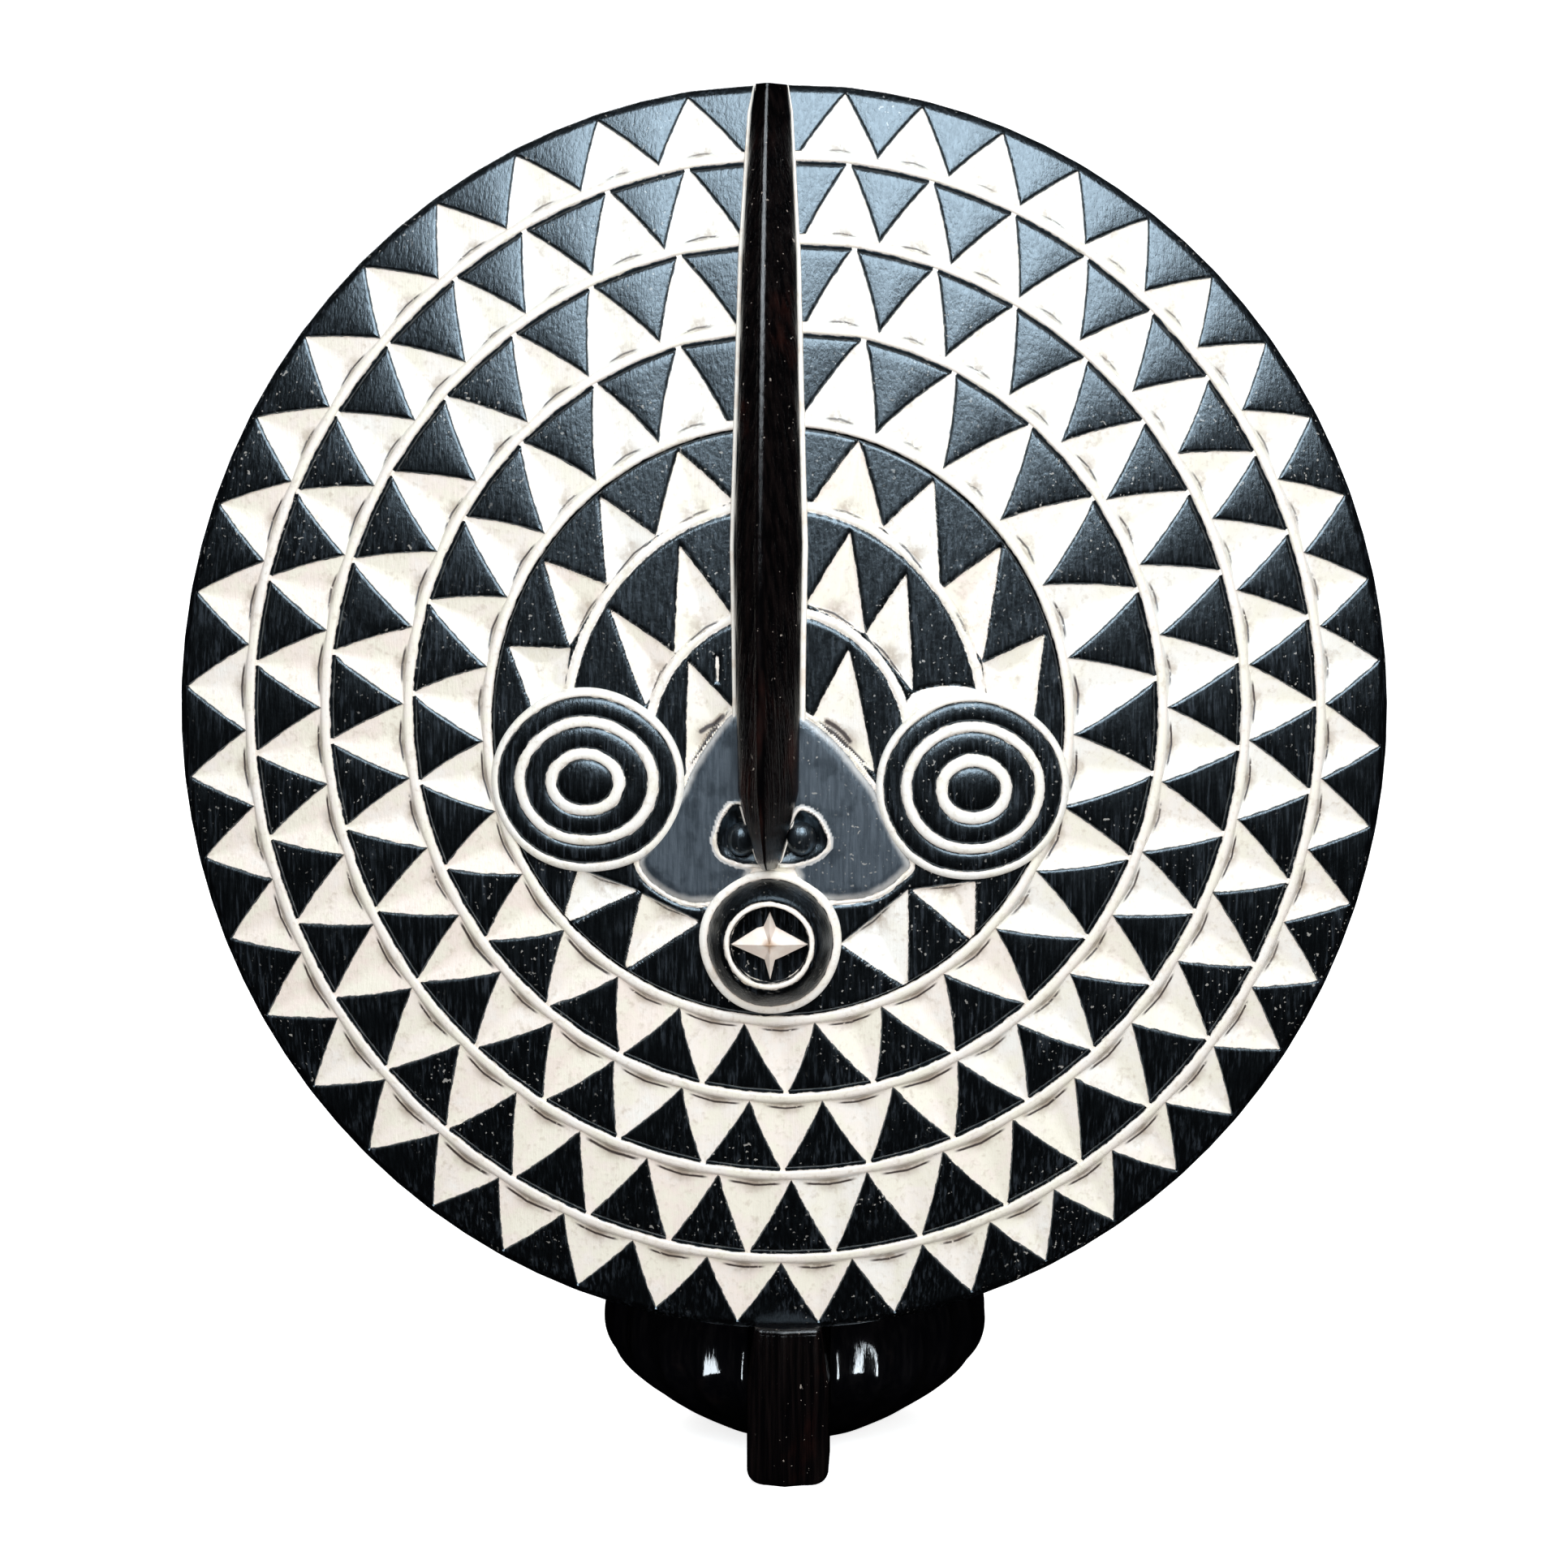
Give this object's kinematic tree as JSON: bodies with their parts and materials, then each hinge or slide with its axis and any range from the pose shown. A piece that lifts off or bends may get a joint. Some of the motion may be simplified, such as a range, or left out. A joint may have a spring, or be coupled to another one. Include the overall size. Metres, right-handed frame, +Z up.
{
  "type": "carved sun mask on a display stand",
  "caption": "Round carved and painted wooden sun mask with rings of triangles, big eyes, long nose and round mouth, standing on a front leg and a ribbed block.",
  "frame": {"origin": "on the ground, under the middle of the whole work's box", "axes": "+Z up, the face looks along -Y and leans back a little, +X to the right of someone who looks at the face"},
  "size_m": [0.46, 0.2016, 0.5332],
  "materials": {
    "painted_wood": "satin black and ivory paint over carved wood, worn through at the bases of the triangles",
    "black_lacquer": "gloss black over ribbed wood"
  },
  "bodies": {
    "root": {"mask": "painted_wood", "stand": "black_lacquer"}
  },
  "joints": []
}
